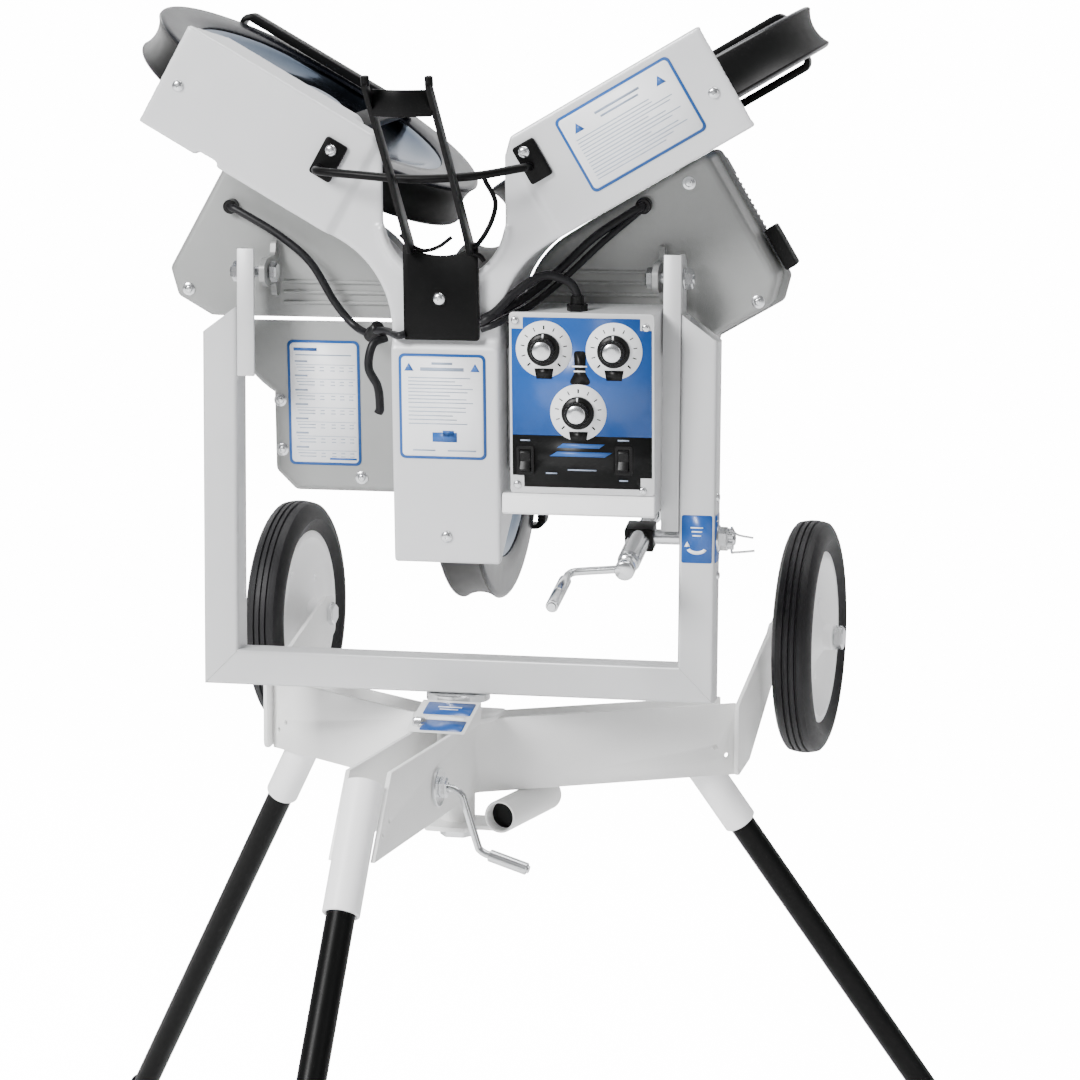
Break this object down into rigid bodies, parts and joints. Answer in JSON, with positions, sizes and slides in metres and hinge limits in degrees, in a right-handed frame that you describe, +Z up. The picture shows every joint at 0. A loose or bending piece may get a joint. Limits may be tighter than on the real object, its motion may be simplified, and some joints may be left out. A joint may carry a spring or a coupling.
{
  "type": "baseball pitching machine",
  "caption": "Pitching machine with three motor-driven throwing wheels in a Y-shaped housing on a tilting, swivelling yoke over a tripod with transport wheels.",
  "frame": {"origin": "on the floor, at the middle of the footprint; the swivel axis stands at x -0.0268, y +0.1026", "axes": "+Z up; +Y is the throwing direction at rest; +X is to the right of an operator standing behind the machine"},
  "size_m": [1.1406, 1.256, 1.3752],
  "materials": {
    "grey_paint": "satin silver-grey powder coat",
    "housing_paint": "satin light silver paint",
    "cover_paint": "satin grey paint",
    "white_paint": "gloss off-white",
    "black_paint": "satin black",
    "rubber": "matte",
    "tyre": "ribbed, matte",
    "throwing_tread": "smooth, slightly glossy",
    "polished_hub": "polished",
    "plated_steel": "bright zinc plate",
    "blue_panel": "printed panel, satin",
    "black_plastic": "matte"
  },
  "bodies": {
    "base": {"beam_plate_rear": "grey_paint", "beam_plate_left": "grey_paint", "beam_plate_right": "grey_paint", "hub_bearing": "grey_paint", "leg_socket_front": "white_paint", "leg_socket_left": "white_paint", "leg_socket_right": "white_paint", "wheel_bracket_left": "grey_paint", "wheel_bracket_right": "grey_paint", "lock_washer": "plated_steel"},
    "leg_front_body": {"leg_front": "black_paint", "foot_front": "rubber"},
    "leg_left_body": {"leg_left": "black_paint", "foot_left": "rubber"},
    "leg_right_body": {"leg_right": "black_paint", "foot_right": "rubber"},
    "transport_wheel_left": {"tyre_left": "tyre", "rim_left": "white_paint"},
    "transport_wheel_right": {"tyre_right": "tyre", "rim_right": "white_paint"},
    "swivel_lock": {"lock_crank": "plated_steel"},
    "swivel_lock_grip": {"lock_sleeve": "plated_steel"},
    "yoke": {"yoke_frame": "grey_paint", "swivel_post": "plated_steel", "ear_left": "grey_paint", "ear_right": "grey_paint", "pivot_bolt_left": "plated_steel", "pivot_bolt_right": "plated_steel", "elevation_stud": "plated_steel"},
    "elevation_block": {"jack_block": "black_paint"},
    "elevation_crank": {"jack_screw": "plated_steel"},
    "elevation_crank_grip": {"jack_sleeve": "plated_steel"},
    "elevation_nut": {"jack_nut_tube": "grey_paint"},
    "head": {"wheel_housing": "housing_paint", "motor_cover_left": "cover_paint", "motor_cover_right": "cover_paint", "motor_cover_low": "cover_paint", "motor_left": "black_paint", "motor_right": "black_paint", "motor_low": "black_paint", "wheel_guard_left": "black_paint", "wheel_guard_right": "black_paint", "wheel_guard_low": "black_paint", "feed_chute": "black_paint", "notch_guard_bar": "black_paint", "control_box": "housing_paint", "control_panel": "blue_panel", "elevation_arm": "grey_paint", "rubber_buffer": "rubber"},
    "throwing_wheel_left": {"wheel_tyre_left": "throwing_tread", "wheel_hub_left": "polished_hub"},
    "throwing_wheel_right": {"wheel_tyre_right": "throwing_tread", "wheel_hub_right": "polished_hub"},
    "throwing_wheel_low": {"wheel_tyre_low": "throwing_tread", "wheel_hub_low": "polished_hub"},
    "dial_left": {"dial_1": "black_plastic"},
    "dial_right": {"dial_2": "black_plastic"},
    "dial_low": {"dial_3": "black_plastic"},
    "reset_rocker": {"reset_switch": "black_plastic"},
    "power_rocker": {"rocker_switch": "black_plastic"}
  },
  "joints": [
    {"name": "swivel", "type": "hinge", "parent": "base", "child": "yoke", "pos_m": [-0.02682, 0.10255, 0.65], "axis": [0, 0, 1], "range_deg": [-180, 180]},
    {"name": "head_tilt", "type": "hinge", "parent": "yoke", "child": "head", "pos_m": [-0.02682, 0.10255, 1.092], "axis": [1, 0, 0], "range_deg": [-10, 15]},
    {"name": "elevation_block_pivot", "type": "hinge", "parent": "yoke", "child": "elevation_block", "pos_m": [0.16818, 0.10255, 0.822], "axis": [1, 0, 0], "range_deg": [-8, 12]},
    {"name": "elevation_extend", "type": "slide", "parent": "elevation_block", "child": "elevation_nut", "axis": [0, 0.9731, 0.2305], "range_m": [-0.06, 0.09]},
    {"name": "elevation_crank_spin", "type": "hinge", "parent": "elevation_block", "child": "elevation_crank", "pos_m": [0.16818, 0.10255, 0.822], "axis": [0, 0.9731, 0.2305], "continuous": true},
    {"name": "elevation_grip_spin", "type": "hinge", "parent": "elevation_crank", "child": "elevation_crank_grip", "pos_m": [0.11018, -0.05004, 0.78072], "axis": [0, 0.9731, 0.2305], "continuous": true},
    {"name": "swivel_lock_turn", "type": "hinge", "parent": "base", "child": "swivel_lock", "pos_m": [-0.01318, -0.0572, 0.578], "axis": [0.9978, -0.0663, 0], "range_deg": [-110, 90]},
    {"name": "swivel_lock_grip_spin", "type": "hinge", "parent": "swivel_lock", "child": "swivel_lock_grip", "pos_m": [0.06266, -0.06224, 0.50455], "axis": [0.9563, -0.0635, -0.2855], "continuous": true},
    {"name": "throwing_wheel_left_spin", "type": "hinge", "parent": "head", "child": "throwing_wheel_left", "pos_m": [-0.21821, 0.21796, 1.25706], "axis": [-0.5, 0.0679, -0.8634], "continuous": true},
    {"name": "throwing_wheel_right_spin", "type": "hinge", "parent": "head", "child": "throwing_wheel_right", "pos_m": [0.16457, 0.21796, 1.25706], "axis": [0.5, 0.0679, -0.8634], "continuous": true},
    {"name": "throwing_wheel_low_spin", "type": "hinge", "parent": "head", "child": "throwing_wheel_low", "pos_m": [-0.02682, 0.24397, 0.92658], "axis": [-1, 0, 0], "continuous": true},
    {"name": "transport_wheel_right_spin", "type": "hinge", "parent": "base", "child": "transport_wheel_right", "pos_m": [0.30755, 0.45317, 0.6672], "axis": [0.9978, -0.0663, 0], "continuous": true},
    {"name": "transport_wheel_left_spin", "type": "hinge", "parent": "base", "child": "transport_wheel_left", "pos_m": [-0.31188, 0.49431, 0.6672], "axis": [0.9978, -0.0663, 0], "continuous": true},
    {"name": "leg_right_extend", "type": "slide", "parent": "base", "child": "leg_right_body", "axis": [0.4951, 0.3142, -0.81], "range_m": [0, 0.04]},
    {"name": "leg_left_extend", "type": "slide", "parent": "base", "child": "leg_left_body", "axis": [-0.4492, 0.3769, -0.81], "range_m": [0, 0.04]},
    {"name": "leg_front_extend", "type": "slide", "parent": "base", "child": "leg_front_body", "axis": [-0.0354, -0.5332, -0.8453], "range_m": [0, 0.04]},
    {"name": "dial_left_turn", "type": "hinge", "parent": "head", "child": "dial_left", "pos_m": [0.07668, 0.03594, 1.02075], "axis": [0, 0.9969, 0.0785], "range_deg": [-135, 135]},
    {"name": "dial_right_turn", "type": "hinge", "parent": "head", "child": "dial_right", "pos_m": [0.14968, 0.03599, 1.02006], "axis": [0, 0.9969, 0.0785], "range_deg": [-135, 135]},
    {"name": "dial_low_turn", "type": "hinge", "parent": "head", "child": "dial_low", "pos_m": [0.11218, 0.04106, 0.95576], "axis": [0, 0.9969, 0.0785], "range_deg": [-135, 135]},
    {"name": "reset_switch_rock", "type": "hinge", "parent": "head", "child": "reset_rocker", "pos_m": [0.05618, 0.05004, 0.9053], "axis": [1, 0, 0], "range_deg": [-10, 0]},
    {"name": "power_switch_rock", "type": "hinge", "parent": "head", "child": "power_rocker", "pos_m": [0.15918, 0.04988, 0.9073], "axis": [1, 0, 0], "range_deg": [-10, 0]}
  ],
  "couplings": [
    {"joint": "elevation_block_pivot", "follows": "head_tilt", "ratio": 0.66},
    {"joint": "elevation_extend", "follows": "head_tilt", "m_per_rad": 0.26127}
  ]
}
